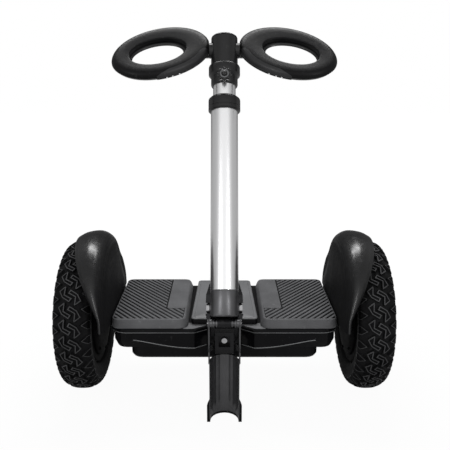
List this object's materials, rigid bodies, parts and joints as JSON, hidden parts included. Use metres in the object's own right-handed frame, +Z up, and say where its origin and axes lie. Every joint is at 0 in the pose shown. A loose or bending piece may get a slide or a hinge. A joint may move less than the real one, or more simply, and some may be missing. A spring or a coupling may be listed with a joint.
{
  "type": "self-balancing scooter",
  "caption": "Self-balancing two-wheel scooter with off-road tyres, bulbous fenders, a telescopic steering column with ring handles and a fold-up parking leg.",
  "frame": {"origin": "centre of the footprint on the floor, midway between the wheels", "axes": "+Z up; +X toward the right wheel as seen from in front of the column; -Y is the travel direction, where the column, the parking leg and the lamps are"},
  "size_m": [0.541, 0.2856, 0.609],
  "materials": {
    "black_plastic": "moulded black plastic, satin with a fine grain",
    "grey_plastic": "moulded dark grey plastic",
    "pad_rubber": "ribbed dark grey rubber",
    "soft_grip": "soft black skinned foam",
    "tyre_rubber": "black tyre rubber with deep off-road blocks",
    "smoked_lens": "smoked lamp cover",
    "red_lens": "red lamp cover",
    "silver_tube": "polished, clear anodised",
    "black_metal": "black powder coat",
    "cast_metal": "die-cast, raw",
    "steel": "zinc-plated and bright steel",
    "winding": "laminated core with enamelled copper windings",
    "circuit": "green circuit board",
    "cell_wrap": "blue heat-shrink film over cells",
    "nylon": "natural nylon"
  },
  "bodies": {
    "chassis": {"chassis_frame": "cast_metal", "upper_shell": "black_plastic", "lower_housing": "black_plastic", "battery_pack": "cell_wrap", "control_board": "circuit", "axle_clamp_left": "cast_metal", "axle_clamp_right": "cast_metal", "axle_left": "steel", "axle_right": "steel", "stator_left": "winding", "stator_right": "winding", "footpad_left": "pad_rubber", "footpad_right": "pad_rubber", "foot_sensor_left": "circuit", "foot_sensor_right": "circuit", "console_panel": "grey_plastic", "front_lens_left": "smoked_lens", "front_lens_right": "smoked_lens", "tail_lamp": "red_lens", "fender_left": "black_plastic", "fender_right": "black_plastic", "shaft_bearing_front": "steel", "shaft_bearing_rear": "steel", "centring_bush": "soft_grip", "steering_sensor": "circuit", "charge_port": "steel"},
    "wheel_left": {"tyre_left": "tyre_rubber", "motor_shell_left": "black_metal", "motor_cover_left": "black_metal", "motor_bearing_left": "steel", "valve_left": "steel"},
    "wheel_right": {"tyre_right": "tyre_rubber", "motor_shell_right": "black_metal", "motor_cover_right": "black_metal", "motor_bearing_right": "steel", "valve_right": "steel"},
    "column": {"steering_shaft": "steel", "shaft_nut": "steel", "steering_yoke": "black_metal", "yoke_bolt": "steel", "cross_bolt": "steel", "column_base": "black_metal", "outer_tube": "silver_tube", "hinge_pin": "steel"},
    "collar": {"twist_collar": "black_plastic"},
    "mast": {"inner_tube": "silver_tube", "slide_bush": "nylon", "head_clamp": "black_plastic", "head_cap": "black_plastic", "handle_base_left": "black_plastic", "handle_base_right": "black_plastic", "grip_pad_left": "soft_grip", "grip_pad_right": "soft_grip", "trim_strip_left": "grey_plastic", "trim_strip_right": "grey_plastic"},
    "knob": {"star_knob": "black_plastic"},
    "leg": {"parking_leg": "black_metal", "leg_foot": "black_plastic"},
    "power_button": {"power_button": "black_plastic"},
    "charge_cap": {"charge_cap": "soft_grip"}
  },
  "joints": [
    {"name": "wheel_left_spin", "type": "hinge", "parent": "chassis", "child": "wheel_left", "pos_m": [-0.2405, 0, 0.128], "axis": [1, 0, 0], "continuous": true},
    {"name": "wheel_right_spin", "type": "hinge", "parent": "chassis", "child": "wheel_right", "pos_m": [0.2405, 0, 0.128], "axis": [1, 0, 0], "continuous": true},
    {"name": "steering_lean", "type": "hinge", "parent": "chassis", "child": "column", "pos_m": [0, 0, 0.129], "axis": [0, 1, 0], "range_deg": [-15, 15], "stiffness_Nm_per_rad": 45},
    {"name": "collar_twist", "type": "hinge", "parent": "column", "child": "collar", "pos_m": [0, -0.1283, 0.1653], "axis": [0, 0.4226, 0.9063], "range_deg": [0, 60]},
    {"name": "mast_height", "type": "slide", "parent": "column", "child": "mast", "axis": [0, 0.4226, 0.9063], "range_m": [0, 0.2]},
    {"name": "knob_turn", "type": "hinge", "parent": "mast", "child": "knob", "pos_m": [0, 0.03728, 0.52039], "axis": [0, -0.9063, 0.4226], "range_deg": [0, 360]},
    {"name": "leg_fold", "type": "hinge", "parent": "column", "child": "leg", "pos_m": [0, -0.13102, 0.16657], "axis": [-1, 0, 0], "range_deg": [0, 205]},
    {"name": "power_press", "type": "slide", "parent": "chassis", "child": "power_button", "axis": [0, -1, 0], "range_m": [0, 0.0015], "stiffness_N_per_m": 400},
    {"name": "charge_cap_lift", "type": "hinge", "parent": "chassis", "child": "charge_cap", "pos_m": [0.092, 0.1031, 0.1335], "axis": [1, 0, 0], "range_deg": [0, 90]}
  ]
}
